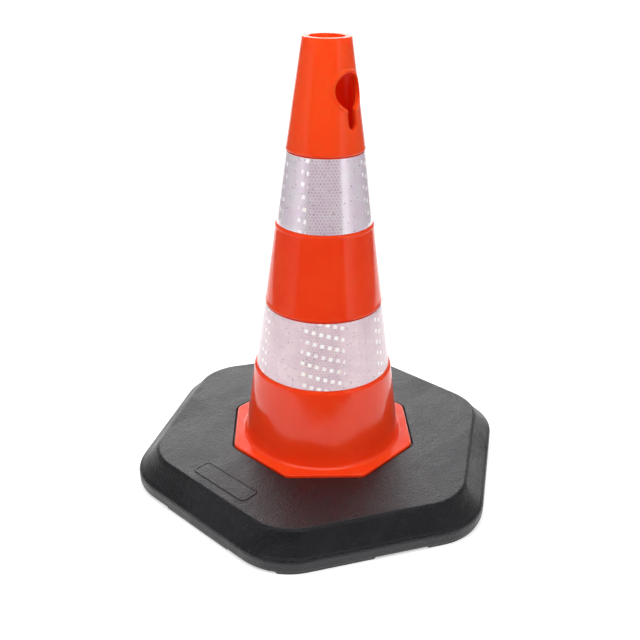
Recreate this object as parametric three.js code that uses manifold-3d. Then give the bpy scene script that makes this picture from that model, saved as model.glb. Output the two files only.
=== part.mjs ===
// Two-part traffic cone: an orange moulded cone body with an octagonal flange and a
// snap-in skirt, two retroreflective bands set into its shallow recesses, and a heavy
// hexagonal rubber base whose octagonal pocket takes the flange.
// Millimetres, +Z up, origin at the centre of the footprint.
import * as THREE from 'three';
import { mergeVertices } from 'three/addons/utils/BufferGeometryUtils.js';
import Module from 'manifold-3d';

const wasm = await Module();
wasm.setup();

// ---------------------------------------------------------------- driving dimensions
const CONE_HEIGHT = 500;            // floor to top rim
const PAD_HEIGHT = 3;               // foot pads under the base
const BASE_TOP = 41;                // flat top plate of the base
const LIP_APOTHEM = 203.4;          // half the distance across the flats of the base
const LIP_CORNER_R = 72.4;          // plan radius of the six corners
const PLATE_APOTHEM = 178.2;        // half across flats of the flat top plate
const PLATE_CORNER_R = 57;
const CAVITY_TOP = 30;              // ceiling of the ribbed underside
const CAVITY_APOTHEM_LOW = 188;
const CAVITY_APOTHEM_HIGH = 172;
const BOSS_R = 112;                 // ring round the skirt hole
const HOLE_R = 98;                  // skirt hole
const UNDERCUT_R = 102.5;           // wider below the ledge the barbs catch under
const LEDGE_Z = 20;
const POCKET_APOTHEM = 107.1;       // octagonal pocket for the flange
const POCKET_FLOOR = 37.5;
const RIB_WIDTH = 6;
const RIB_COUNT = 16;
const PAD_COUNT = 8;
const PAD_HALF_ANGLE = 14.4;        // degrees
const PAD_INNER_R = 168;

const FLANGE_APOTHEM = 105.2;
const FLANGE_CORNER_R = 12;
const FLANGE_BOTTOM = 37.9;
const FLANGE_TOP = 42.5;
const FLANGE_EDGE = 1.2;            // rounded edge of the flange
const SKIRT_R = 96.6;
const SKIRT_BOTTOM = 8;
const BARB_R = 97.55;
const BARB_COUNT = 4;

const BAND_THICK = 0.6;
const BAND_FLOOR_DROP = 0.95;       // recess floor below the band's outer face
const UPPER_BAND = { top: 384.9, rTop: 41.8, bottom: 307.3, rBottom: 52.75 };
const LOWER_BAND = { top: 211.4, rTop: 66.3, bottom: 134.8, rBottom: 77.5 };

const KEY_Z = 449.3;                // centre of the keyhole's round part
const KEY_R = 17.9;
const KEY_SLOT_HALF = 6;
const KEY_SLOT_CENTRE = 417.4;      // centre of the slot's round end
const KEY_FILLET = 4;
const COLLAR_R = 21.6;              // raised rim round the keyhole
const COLLAR_PROUD = 0.9;

const PLAQUE = { y: -157.5, w: 84, h: 24, r: 6, rise: 0.7 };   // blank moulded pad

const ROUND = 48;                   // sides of turned pieces
const CORNER_STEPS = 6;             // steps in each rounded corner of the hexagon

// ---------------------------------------------------------------- solids
function solid(geometry) {
  const g = geometry.clone();
  g.deleteAttribute('normal');
  if (g.attributes.uv) g.deleteAttribute('uv');
  const m = mergeVertices(g, 1e-4);
  const tri = [];
  const idx = m.index.array;
  for (let i = 0; i < idx.length; i += 3) {
    const [a, b, c] = [idx[i], idx[i + 1], idx[i + 2]];
    if (a !== b && b !== c && a !== c) tri.push(a, b, c);
  }
  const make = (t) => new wasm.Manifold(new wasm.Mesh({
    numProp: 3,
    vertProperties: new Float32Array(m.attributes.position.array),
    triVerts: new Uint32Array(t),
  }));
  return make(tri);
}

function toGeometry(manifold) {
  const mesh = manifold.getMesh();
  const g = new THREE.BufferGeometry();
  const n = mesh.vertProperties.length / mesh.numProp;
  const pos = new Float32Array(n * 3);
  for (let i = 0; i < n; i++) {
    pos[3 * i] = mesh.vertProperties[i * mesh.numProp];
    pos[3 * i + 1] = mesh.vertProperties[i * mesh.numProp + 1];
    pos[3 * i + 2] = mesh.vertProperties[i * mesh.numProp + 2];
  }
  g.setAttribute('position', new THREE.BufferAttribute(pos, 3));
  g.setIndex(new THREE.BufferAttribute(new Uint32Array(mesh.triVerts), 1));
  g.computeVertexNormals();
  return g;
}

// turned body about Z; the [r, z] profile runs anticlockwise and closes by itself
function turned(profile, sides = ROUND) {
  const pts = profile.map(([r, z]) => new THREE.Vector2(r, z));
  const onAxis = profile[0][0] === 0 && profile[profile.length - 1][0] === 0;
  if (!onAxis) pts.push(pts[0].clone());
  const g = new THREE.LatheGeometry(pts, sides);
  g.rotateX(Math.PI / 2);
  return solid(g);
}

// point k of a regular n-gon outline with rounded corners; flats face phase + i*360/n
function roundedRing(n, phaseDeg, steps) {
  const ring = [];
  for (let i = 0; i < n; i++) {
    const flat = THREE.MathUtils.degToRad(phaseDeg + (i * 360) / n);
    ring.push({ flat, kind: 'mid' });
    for (let s = 0; s <= steps; s++) {
      ring.push({ flat, kind: 'arc', turn: (s / steps) * ((2 * Math.PI) / n) });
    }
  }
  return (k, apothem, corner) => {
    const p = ring[k % ring.length];
    if (k < 0) return ring.length;
    if (p.kind === 'mid') return [apothem * Math.cos(p.flat), apothem * Math.sin(p.flat)];
    const toCorner = p.flat + Math.PI / n;
    const d = (apothem - corner) / Math.cos(Math.PI / n);
    const a = p.flat + p.turn;
    return [
      d * Math.cos(toCorner) + corner * Math.cos(a),
      d * Math.sin(toCorner) + corner * Math.sin(a),
    ];
  };
}

// body with a rounded n-gon section: a lathe whose rings are moved onto that outline;
// rows are [apothem, cornerRadius, z] from the axis, up the outside, back to the axis
function lofted(n, phaseDeg, rows, steps) {
  const point = roundedRing(n, phaseDeg, steps);
  const sides = point(-1);
  const g = new THREE.LatheGeometry(rows.map(([a, , z]) => new THREE.Vector2(a, z)), sides);
  const pos = g.attributes.position;
  for (let i = 0; i <= sides; i++) {
    for (let j = 0; j < rows.length; j++) {
      const [a, c, z] = rows[j];
      const [x, y] = a === 0 ? [0, 0] : point(i % sides, a, c);
      pos.setXYZ(i * rows.length + j, x, y, z);
    }
  }
  return solid(g);
}

// upright prism of a THREE.Shape in the XY plane between two heights
function prism(shape, z0, z1, curveSegments = 6) {
  const g = new THREE.ExtrudeGeometry(shape, { depth: z1 - z0, bevelEnabled: false, curveSegments });
  g.translate(0, 0, z0);
  return solid(g);
}

function cylinder(r, z0, z1, sides = ROUND) {
  return turned([[0, z0], [r, z0], [r, z1], [0, z1]], sides);
}

function box(x0, x1, y0, y1, z0, z1, turn = 0) {
  const g = new THREE.BoxGeometry(x1 - x0, y1 - y0, z1 - z0);
  g.translate((x0 + x1) / 2, (y0 + y1) / 2, (z0 + z1) / 2);
  g.rotateZ(turn);
  return solid(g);
}

const deg = THREE.MathUtils.degToRad;

// ---------------------------------------------------------------- base
const HEX_PHASE = 30;               // corners on +X and -X, flats on +Y and -Y
const OCT_PHASE = 0;                // flats on +X, +Y and the diagonals
const L = LIP_APOTHEM;
const C = LIP_CORNER_R;

let base = lofted(6, HEX_PHASE, [
  [0, 0, PAD_HEIGHT],
  [L - 2.4, C - 2.4, PAD_HEIGHT],
  [L - 0.8, C - 0.9, PAD_HEIGHT + 1.3],
  [L - 0.3, C - 0.4, PAD_HEIGHT + 3.2],
  [L, C, 15.2],
  [L - 0.5, C - 0.4, 17],
  [L - 1.9, C - 1.5, 18.5],
  [L - 4.0, C - 3.0, 20.2],
  [191.0, 65.6, 29.0],
  [182.9, 60.0, 38.6],
  [180.9, 58.6, 40.4],
  [PLATE_APOTHEM, PLATE_CORNER_R, BASE_TOP],
  [0, 0, BASE_TOP],
], CORNER_STEPS);

const cavity = lofted(6, HEX_PHASE, [
  [0, 0, -5],
  [CAVITY_APOTHEM_LOW, 58, -5],
  [CAVITY_APOTHEM_LOW, 58, 15],
  [CAVITY_APOTHEM_HIGH, 50, CAVITY_TOP],
  [0, 0, CAVITY_TOP],
], CORNER_STEPS).subtract(cylinder(BOSS_R, -6, CAVITY_TOP + 1));
base = base.subtract(cavity);

// radial ribs from the boss ring to the outer wall
const ribSpace = lofted(6, HEX_PHASE, [
  [0, 0, 5], [194, 62, 5], [194, 62, 15], [178, 54, CAVITY_TOP + 1.5], [0, 0, CAVITY_TOP + 1.5],
], CORNER_STEPS);
for (let i = 0; i < RIB_COUNT; i++) {
  const rib = box(BOSS_R - 3, 235, -RIB_WIDTH / 2, RIB_WIDTH / 2, 5, CAVITY_TOP + 1.4, deg((i * 360) / RIB_COUNT));
  base = base.add(rib.intersect(ribSpace));
}

// eight foot pads in line with the flats of the octagonal pocket
const padOutline = lofted(6, HEX_PHASE, [
  [0, 0, 0], [L - 3.4, C - 3.4, 0], [L - 2.2, C - 2.2, 1.1], [L - 2.2, C - 2.2, 7], [0, 0, 7],
], CORNER_STEPS);
for (let i = 0; i < PAD_COUNT; i++) {
  const mid = (i * 360) / PAD_COUNT;
  const s = new THREE.Shape();
  const a0 = deg(mid - PAD_HALF_ANGLE);
  const a1 = deg(mid + PAD_HALF_ANGLE);
  s.moveTo(PAD_INNER_R * Math.cos(a0), PAD_INNER_R * Math.sin(a0));
  s.lineTo(270 * Math.cos(a0), 270 * Math.sin(a0));
  s.lineTo(270 * Math.cos(a1), 270 * Math.sin(a1));
  s.lineTo(PAD_INNER_R * Math.cos(a1), PAD_INNER_R * Math.sin(a1));
  s.closePath();
  base = base.add(prism(s, 0, 7).intersect(padOutline));
}

// hole for the skirt, the wider part below its ledge, and the octagonal pocket
base = base.subtract(cylinder(HOLE_R, -5, 60));
base = base.subtract(turned([[0, -5], [UNDERCUT_R, -5], [UNDERCUT_R, LEDGE_Z - 2], [HOLE_R - 1, LEDGE_Z + 2.6], [0, LEDGE_Z + 2.6]]));
base = base.subtract(lofted(8, OCT_PHASE, [
  [0, 0, POCKET_FLOOR],
  [POCKET_APOTHEM, FLANGE_CORNER_R + 1.5, POCKET_FLOOR],
  [POCKET_APOTHEM, FLANGE_CORNER_R + 1.5, BASE_TOP - 0.8],
  [POCKET_APOTHEM + 1.3, FLANGE_CORNER_R + 2.5, BASE_TOP + 0.5],
  [0, 0, BASE_TOP + 0.5],
], 4));

// blank moulded pad near the front edge
{
  const { y, w, h, r, rise } = PLAQUE;
  const s = new THREE.Shape();
  const x0 = -w / 2, x1 = w / 2, y0 = y - h / 2, y1 = y + h / 2;
  s.moveTo(x0 + r, y0);
  s.lineTo(x1 - r, y0);
  s.absarc(x1 - r, y0 + r, r, -Math.PI / 2, 0, false);
  s.lineTo(x1, y1 - r);
  s.absarc(x1 - r, y1 - r, r, 0, Math.PI / 2, false);
  s.lineTo(x0 + r, y1);
  s.absarc(x0 + r, y1 - r, r, Math.PI / 2, Math.PI, false);
  s.lineTo(x0, y0 + r);
  s.absarc(x0 + r, y0 + r, r, Math.PI, 1.5 * Math.PI, false);
  base = base.add(prism(s, BASE_TOP - 2, BASE_TOP + rise, 4));
}

// ---------------------------------------------------------------- cone body
const U = UPPER_BAND;
const D = LOWER_BAND;
const F = BAND_FLOOR_DROP;
let body = turned([
  // inside, from the top lip down to the foot of the skirt, is walked last
  [92.8, SKIRT_BOTTOM],
  [SKIRT_R - 0.9, SKIRT_BOTTOM],
  [SKIRT_R, SKIRT_BOTTOM + 1.2],
  [SKIRT_R, 41.6],
  [95.9, FLANGE_TOP],
  [94.6, 42.9],
  [93.4, 43.8],
  [92.65, 45.1],
  [92.2, 47],
  [80.75, 128.8],
  [80.6, 130.6],
  [80.2, 131.6],
  [77.9, 134.2],
  [D.rBottom - F, 134.4],
  [D.rTop - F, 211.8],
  [66.3, 213.4],
  [66.75, 214.4],
  [66.5, 215.4],
  [65.95, 217],
  [55.8, 288],
  [54.5, 298],
  [54.55, 300],
  [54.85, 302.2],
  [54.6, 303.6],
  [53.0, 306.5],
  [U.rBottom - F, 306.9],
  [U.rTop - F, 385.3],
  [42.1, 387],
  [42.5, 388],
  [42.2, 389.2],
  [41.75, 390.4],
  [27.2, 488],
  [25.45, 499.2],
  [24.7, CONE_HEIGHT],
  [19.1, CONE_HEIGHT],
  [18.6, 499.4],
  [18.6, 496],
  [22.2, 493.6],
  [37.7, 385],
  [48.9, 307],
  [62.5, 212],
  [73.8, 133.2],
  [77.3, 127.5],
  [88.6, 47.5],
  [90.4, 40],
]);

// raised rim round the round part of each keyhole
const coneAt = (z) => 27.2 + ((41.75 - 27.2) * (488 - z)) / (488 - 390.4);
const rimShell = turned([
  [coneAt(424) - 1.5, 424],
  [coneAt(424) + COLLAR_PROUD, 424],
  [coneAt(475) + COLLAR_PROUD, 475],
  [coneAt(475) - 1.5, 475],
]);
const alongX = (shape, x0, x1, segs) => {
  const g = new THREE.ExtrudeGeometry(shape, { depth: x1 - x0, bevelEnabled: false, curveSegments: segs });
  // shape x -> +Y, shape y -> +Z, extrusion -> +X
  g.applyMatrix4(new THREE.Matrix4().set(0, 0, 1, x0, 1, 0, 0, 0, 0, 1, 0, 0, 0, 0, 0, 1));
  return solid(g);
};
const disc = new THREE.Shape();
disc.absarc(0, KEY_Z, COLLAR_R, 0, 2 * Math.PI, false);
const rimPlus = rimShell.intersect(alongX(disc, 15, 50, 16));

const key = new THREE.Shape();
{
  const cx = KEY_SLOT_HALF + KEY_FILLET;
  const reach = KEY_R + KEY_FILLET;
  const cz = KEY_Z - Math.sqrt(reach * reach - cx * cx);
  const dir = Math.atan2(cz - KEY_Z, cx);                 // from the circle's centre to the fillet's
  key.moveTo(-KEY_SLOT_HALF, cz);
  key.lineTo(-KEY_SLOT_HALF, KEY_SLOT_CENTRE);
  key.absarc(0, KEY_SLOT_CENTRE, KEY_SLOT_HALF, Math.PI, 2 * Math.PI, false);
  key.lineTo(KEY_SLOT_HALF, cz);
  key.absarc(cx, cz, KEY_FILLET, Math.PI, dir + Math.PI, true);
  key.absarc(0, KEY_Z, KEY_R, dir, Math.PI - dir, false);
  key.absarc(-cx, cz, KEY_FILLET, -dir, 0, true);
  key.closePath();
}
const keyCut = alongX(key, 8, 60, 9);
for (const turn of [0, 180]) {
  body = body.add(rimPlus.rotate([0, 0, turn]));
  body = body.subtract(keyCut.rotate([0, 0, turn]));
}

// octagonal flange with a rounded edge
{
  const point = roundedRing(8, OCT_PHASE, 4);
  const n = point(-1);
  const s = new THREE.Shape();
  for (let k = 0; k < n; k++) {
    const [x, y] = point(k, FLANGE_APOTHEM - FLANGE_EDGE, FLANGE_CORNER_R - FLANGE_EDGE);
    if (k === 0) s.moveTo(x, y); else s.lineTo(x, y);
  }
  s.closePath();
  const g = new THREE.ExtrudeGeometry(s, {
    depth: FLANGE_TOP - FLANGE_BOTTOM - 2 * FLANGE_EDGE,
    bevelEnabled: true, bevelThickness: FLANGE_EDGE, bevelSize: FLANGE_EDGE, bevelSegments: 3,
  });
  g.translate(0, 0, FLANGE_BOTTOM + FLANGE_EDGE);
  body = body.add(solid(g).subtract(cylinder(94.2, 0, 60)));
}

// snap barbs round the foot of the skirt, drawn sprung in so that they clear the hole
const barbRing = turned([
  [95.4, 12.5], [96.4, 12.5], [BARB_R, 15.4], [BARB_R, 17.2], [96.4, 17.9], [95.4, 17.9],
]);
for (let i = 0; i < BARB_COUNT; i++) {
  body = body.add(barbRing.intersect(box(80, 110, -14, 14, 12, 18.5, deg((i * 360) / BARB_COUNT))));
}
// relief slots either side of each barb let the tongue flex
for (let i = 0; i < BARB_COUNT; i++) {
  for (const side of [-1, 1]) {
    const a = deg((i * 360) / BARB_COUNT + side * 10);
    body = body.subtract(box(84, 110, -1.2, 1.2, 0, 30, a));
  }
}

// ---------------------------------------------------------------- reflective bands
function band({ top, rTop, bottom, rBottom }) {
  return turned([
    [rBottom - BAND_THICK, bottom],
    [rBottom, bottom],
    [rTop, top],
    [rTop - BAND_THICK, top],
  ]);
}

// ---------------------------------------------------------------- scene graph
const rubber = new THREE.MeshStandardMaterial({ color: 0x4b4a4d, roughness: 0.62, metalness: 0 });
const orange = new THREE.MeshStandardMaterial({ color: 0xf23c14, roughness: 0.32, metalness: 0 });
const sheeting = new THREE.MeshStandardMaterial({ color: 0xd9cbd6, roughness: 0.35, metalness: 0.1 });

const cone = new THREE.Group();
function node(name, manifold, material, parent = cone) {
  const mesh = new THREE.Mesh(toGeometry(manifold), material);
  mesh.name = name;
  parent.add(mesh);
  return mesh;
}
node('ballast_base', base, rubber);
node('cone_body', body, orange);
node('reflective_band_upper', band(U), sheeting);
node('reflective_band_lower', band(D), sheeting);

export default cone;
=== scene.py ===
"""Two-part traffic cone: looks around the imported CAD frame. Metres, +Z up, origin at the centre of the footprint."""

import math

import bmesh
import bpy
import numpy as np
from mathutils import Matrix, Vector


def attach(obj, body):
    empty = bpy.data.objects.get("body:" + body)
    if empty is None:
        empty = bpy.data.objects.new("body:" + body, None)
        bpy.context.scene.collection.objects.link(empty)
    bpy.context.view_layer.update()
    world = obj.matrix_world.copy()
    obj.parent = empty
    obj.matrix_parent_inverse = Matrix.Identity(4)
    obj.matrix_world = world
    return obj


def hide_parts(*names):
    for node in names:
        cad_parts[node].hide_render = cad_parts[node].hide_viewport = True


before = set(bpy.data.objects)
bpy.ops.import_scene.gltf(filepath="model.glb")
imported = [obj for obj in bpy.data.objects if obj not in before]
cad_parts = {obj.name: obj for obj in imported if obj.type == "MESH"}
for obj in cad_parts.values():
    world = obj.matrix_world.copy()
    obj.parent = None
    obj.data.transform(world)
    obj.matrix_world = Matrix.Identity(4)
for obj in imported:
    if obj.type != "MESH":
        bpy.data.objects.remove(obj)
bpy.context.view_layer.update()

MM = 0.001
N = 256                                   # columns round every turned piece
TH = np.arange(N) * 2 * math.pi / N
CAMERA_AZ = math.radians(-47.46)          # direction from the axis towards the camera, from +X


# ------------------------------------------------------------------ camera
def make_camera():
    d, h = 0.87605, 0.60236
    pitch, yaw, roll = math.radians(-25.4719), math.radians(-0.2475), math.radians(0.6514)
    fwd = Vector((math.sin(yaw) * math.cos(pitch), math.cos(yaw) * math.cos(pitch), math.sin(pitch)))
    right = Vector((math.cos(yaw), -math.sin(yaw), 0.0))
    up = right.cross(fwd)
    right2 = math.cos(roll) * right + math.sin(roll) * up
    up2 = -math.sin(roll) * right + math.cos(roll) * up
    turn = Matrix.Rotation(CAMERA_AZ + math.pi / 2, 3, "Z")
    rot = Matrix((turn @ right2, turn @ up2, -(turn @ fwd))).transposed()
    data = bpy.data.cameras.new("camera")
    data.sensor_fit = "AUTO"
    data.sensor_width = 36.0
    data.lens = 47.04
    data.clip_start, data.clip_end = 0.01, 200.0
    cam = bpy.data.objects.new("camera", data)
    bpy.context.scene.collection.objects.link(cam)
    cam.matrix_world = Matrix.Translation(turn @ Vector((0, -d, h))) @ rot.to_4x4()
    bpy.context.scene.camera = cam


make_camera()


# ------------------------------------------------------------------ mesh helpers
def polygon_radius(theta, n, phase, apothem, corner):
    """Distance from the centre to a rounded regular n-gon's outline in direction theta; flats face phase + i*360/n."""
    step = 2 * math.pi / n
    phi = np.abs((theta - phase + step / 2) % step - step / 2)
    cx, cy = apothem - corner, (apothem - corner) * math.tan(step / 2)
    dot = cx * np.cos(phi) + cy * np.sin(phi)
    arc = dot + np.sqrt(np.maximum(dot * dot - cx * cx - cy * cy + corner * corner, 0))
    return np.where(apothem * np.tan(phi) <= cy, apothem / np.cos(phi), arc)


def hexagon(theta, a, c):
    return polygon_radius(theta, 6, math.pi / 6, a, c)


def octagon(theta, a, c):
    return polygon_radius(theta, 8, 0.0, a, c)


def rounded(rows, seg=4, closed=False):
    """Rounds the corners of a polyline. Each row is (..., z, radius); the first and next-to-last values give its plane."""
    pts = [np.array(r[:-1], float) for r in rows]
    out = []
    n = len(rows)
    for i, row in enumerate(rows):
        p, rad = pts[i], row[-1]
        if rad <= 0 or (not closed and i in (0, n - 1)):
            out.append(p)
            continue
        a, b = pts[i - 1], pts[(i + 1) % n]
        u, w = a - p, b - p
        lu, lw = math.hypot(u[0], u[-1]), math.hypot(w[0], w[-1])
        cosang = (u[0] * w[0] + u[-1] * w[-1]) / (lu * lw)
        turn = math.pi - math.acos(max(-1.0, min(1.0, cosang)))
        t = min(rad * math.tan(turn / 2), 0.48 * lu, 0.48 * lw)
        p0, p2 = p + u * (t / lu), p + w * (t / lw)
        for s in range(seg + 1):
            q = s / seg
            out.append((1 - q) ** 2 * p0 + 2 * q * (1 - q) * p + q * q * p2)
    return out


def supported(rows, longest=9.0, support=0.7):
    """Splits long spans, with a row close to each end so that shading stays tight to the corners."""
    out = [rows[0]]
    for a, b in zip(rows, rows[1:]):
        length = math.hypot(b[0] - a[0], b[-1] - a[-1])
        cuts = []
        if length > 3.2 * support:
            inner = length - 2 * support
            k = max(1, int(math.ceil(inner / longest)))
            cuts = [(support + inner * i / k) / length for i in range(k + 1)]
        out += [a + (b - a) * c for c in cuts] + [b]
    return out


class Shell:
    """Vertices and faces in millimetres."""

    def __init__(self):
        self.v, self.f = [], []

    def ring(self, xyz):
        start = len(self.v)
        self.v.extend(tuple(map(float, p)) for p in xyz)
        return list(range(start, len(self.v)))

    def strip(self, a, b, closed=True, skip=()):
        n = len(a)
        for i in range(n if closed else n - 1):
            if i in skip:
                continue
            j = (i + 1) % n
            self.f.append((a[i], a[j], b[j], b[i]))

    def make(self, name):
        mesh = bpy.data.meshes.new(name)
        mesh.from_pydata([(x * MM, y * MM, z * MM) for x, y, z in self.v], [], [tuple(int(i) for i in f) for f in self.f])
        bm = bmesh.new()
        bm.from_mesh(mesh)
        loose = [v for v in bm.verts if not v.link_faces]
        bmesh.ops.delete(bm, geom=loose, context="VERTS")
        bmesh.ops.recalc_face_normals(bm, faces=bm.faces)
        bm.to_mesh(mesh)
        bm.free()
        mesh.validate()
        ob = bpy.data.objects.new(name, mesh)
        bpy.context.scene.collection.objects.link(ob)
        return ob


def polar(r, theta, z):
    return np.stack([r * np.cos(theta), r * np.sin(theta), np.broadcast_to(z, theta.shape)], 1)


def smooth(ob, angle=32.0):
    ob.data.shade_smooth()
    ob.data.set_sharp_from_angle(angle=math.radians(angle))


def smoothstep(x):
    x = np.clip(x, 0, 1)
    return x * x * (3 - 2 * x)


def apply_modifiers(ob):
    """Bakes the modifiers into the object's own mesh."""
    dg = bpy.context.evaluated_depsgraph_get()
    dg.update()
    new = bpy.data.meshes.new_from_object(ob.evaluated_get(dg), depsgraph=dg)
    ob.modifiers.clear()
    old = ob.data
    ob.data = new
    bpy.data.meshes.remove(old)


def join_in(ob, other):
    """Boolean union of other into ob."""
    mod = ob.modifiers.new("union", "BOOLEAN")
    mod.operation, mod.solver, mod.object = "UNION", "EXACT", other
    mod.use_self = False
    apply_modifiers(ob)
    mesh = other.data
    bpy.data.objects.remove(other)
    bpy.data.meshes.remove(mesh)


# ------------------------------------------------------------------ keyholes
KEY_Z, KEY_R, SLOT_HALF, SLOT_Z, KEY_FILLET = 449.3, 17.9, 6.0, 417.4, 4.0
COLLAR_R, COLLAR_PROUD = 21.6, 0.9
PATCH_Z0, PATCH_Z1, PATCH_ROWS, PATCH_COLS = 403.0, 479.0, 36, 40


def cone_out(z):
    return 27.2 + (41.75 - 27.2) * (488 - z) / (488 - 390.4)


def cone_in(z):
    return 22.2 + (37.7 - 22.2) * (493.6 - z) / (493.6 - 385)


def key_outline(fraction):
    """Points (y, z) and outward normals of the keyhole's right half, from top centre (0) to bottom centre (1)."""
    cx = SLOT_HALF + KEY_FILLET
    cz = KEY_Z - math.sqrt((KEY_R + KEY_FILLET) ** 2 - cx * cx)
    low = math.atan2(cz - KEY_Z, cx)
    pts, nor = [], []
    for a in np.linspace(math.pi / 2, low, 240):
        pts.append((KEY_R * math.cos(a), KEY_Z + KEY_R * math.sin(a)))
        nor.append((math.cos(a), math.sin(a)))
    for a in np.linspace(low + math.pi, math.pi, 60)[1:]:
        pts.append((cx + KEY_FILLET * math.cos(a), cz + KEY_FILLET * math.sin(a)))
        nor.append((-math.cos(a), -math.sin(a)))
    for z in np.linspace(cz, SLOT_Z, 60)[1:]:
        pts.append((SLOT_HALF, z))
        nor.append((1.0, 0.0))
    for a in np.linspace(0, -math.pi / 2, 80)[1:]:
        pts.append((SLOT_HALF * math.cos(a), SLOT_Z + SLOT_HALF * math.sin(a)))
        nor.append((math.cos(a), math.sin(a)))
    pts, nor = np.array(pts), np.array(nor)
    s = np.concatenate([[0], np.cumsum(np.hypot(*np.diff(pts, axis=0).T))])
    f = np.asarray(fraction) * s[-1]
    p = np.stack([np.interp(f, s, pts[:, 0]), np.interp(f, s, pts[:, 1])], 1)
    n = np.stack([np.interp(f, s, nor[:, 0]), np.interp(f, s, nor[:, 1])], 1)
    return p, n / np.linalg.norm(n, axis=1, keepdims=True)


def collar(y, z, proud):
    """Height of the raised rim over the cone at a point seen along X."""
    rho = np.hypot(y, z - KEY_Z)
    return proud * smoothstep((COLLAR_R + 0.25 - rho) / 1.0)


def on_cone(y, z, radius, sign, lift=0.0):
    r = radius(z) + lift
    x = np.sqrt(np.maximum(r * r - y * y, 0.01))
    return np.stack([sign * x, sign * y, z], 1)


def keyhole(shell, outer, inner, sign):
    """Closes the gap left in the outer and inner walls round one keyhole. outer and inner are {row: ring} at PATCH rows."""
    first = 0 if sign > 0 else N // 2
    proud = COLLAR_PROUD if sign > 0 else 0.1             # the far keyhole's rim is all but flush
    cols = [(first + k) % N for k in range(-PATCH_COLS, PATCH_COLS + 1)]
    rows = list(range(PATCH_ROWS + 1))                       # 0 is the top row
    c = PATCH_COLS

    def border(rings):
        path = [rings[0][cols[c + k]] for k in range(c)]
        path += [rings[r][cols[2 * c]] for r in rows[:-1]]
        path += [rings[PATCH_ROWS][cols[2 * c - k]] for k in range(2 * c)]
        path += [rings[PATCH_ROWS - r][cols[0]] for r in rows[:-1]]
        path += [rings[0][cols[k]] for k in range(c)]
        return path

    def half_fraction():
        z = np.linspace(PATCH_Z1, PATCH_Z0, PATCH_ROWS + 1)
        step = 2 * math.pi / N
        seg = [cone_out(PATCH_Z1) * step] * c + [z[0] - z[1]] * PATCH_ROWS + [cone_out(PATCH_Z0) * step] * c
        s = np.concatenate([[0], np.cumsum(seg)])
        return s / s[-1]

    half = half_fraction()
    h = len(half) - 1
    p, n = key_outline(half)
    points = np.concatenate([p, (p * [-1, 1])[-2:0:-1]])
    normals = np.concatenate([n, (n * [-1, 1])[-2:0:-1]])
    points[0, 0] = points[h, 0] = 0.0
    count = len(points)

    outer_path, inner_path = border(outer), border(inner)
    assert len(outer_path) == count, (len(outer_path), count)

    def to_param(path):
        v = np.array([shell.v[i] for i in path])
        return np.arctan2(sign * v[:, 1], sign * v[:, 0]), v[:, 2]

    def surface_rings(radius, path, start, steps, raised):
        """Rings from an offset of the outline out to the border of the wall's gap."""
        theta_p, z_p = to_param(path)
        rings = []
        for d in start:
            q = points + normals * d
            rings.append((q[:, 0], q[:, 1]))
        q = points + normals * start[-1]
        theta_a = np.arcsin(np.clip(q[:, 0] / (radius(q[:, 1])), -1, 1))
        for s in steps:
            th, z = theta_a + (theta_p - theta_a) * s, q[:, 1] + (z_p - q[:, 1]) * s
            rings.append((radius(z) * np.sin(th), z))
        made = []
        for y, z in rings:
            lift = collar(y, z, proud) if raised else 0.0
            made.append(shell.ring(on_cone(y, z, radius, sign, lift)))
        made.append(path)
        for a, b in zip(made, made[1:]):
            shell.strip(a, b)
        return made[0]

    edge = 0.55
    near = np.linspace(edge, 2.4, 7)
    far = [0.035, 0.07, 0.105, 0.14, 0.175, 0.21, 0.25, 0.29, 0.34, 0.40, 0.48, 0.58, 0.70, 0.84]
    top = surface_rings(cone_out, outer_path, near, far, True)
    low = surface_rings(cone_in, inner_path, [0.45, 0.9, 1.6, 2.4], [0.12, 0.26, 0.42, 0.6, 0.8], False)

    # rounded outer edge, straight wall along X, rounded inner edge
    y, z = points[:, 0], points[:, 1]
    x_out = np.sqrt(np.maximum((cone_out(z) + collar(y, z, proud)) ** 2 - y * y, 1))
    x_in = np.sqrt(np.maximum(cone_in(z) ** 2 - y * y, 1))
    last = top
    for a in np.linspace(0, math.pi / 2, 5)[1:]:
        d, drop = edge * (1 - math.sin(a)), edge * (1 - math.cos(a)) * 1.25
        yy, zz = y + normals[:, 0] * d, z + normals[:, 1] * d
        r = cone_out(zz) + collar(yy, zz, proud)
        x = np.sqrt(np.maximum(r * r - yy * yy, 1)) - drop
        ring = shell.ring(np.stack([sign * x, sign * yy, zz], 1))
        shell.strip(last, ring)
        last = ring
    for s in (0.12, 0.35, 0.6, 0.85, 0.96):
        x = (x_out - edge * 1.25) + ((x_in + 0.45) - (x_out - edge * 1.25)) * s
        ring = shell.ring(np.stack([sign * x, sign * y, z], 1))
        shell.strip(last, ring)
        last = ring
    for a in np.linspace(0, math.pi / 2, 4)[1:-1]:
        d, rise = 0.45 * (1 - math.cos(a)), 0.45 * (1 - math.sin(a))
        yy, zz = y + normals[:, 0] * d, z + normals[:, 1] * d
        x = np.sqrt(np.maximum(cone_in(zz) ** 2 - yy * yy, 1)) + rise
        ring = shell.ring(np.stack([sign * x, sign * yy, zz], 1))
        shell.strip(last, ring)
        last = ring
    shell.strip(last, low)


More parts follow.
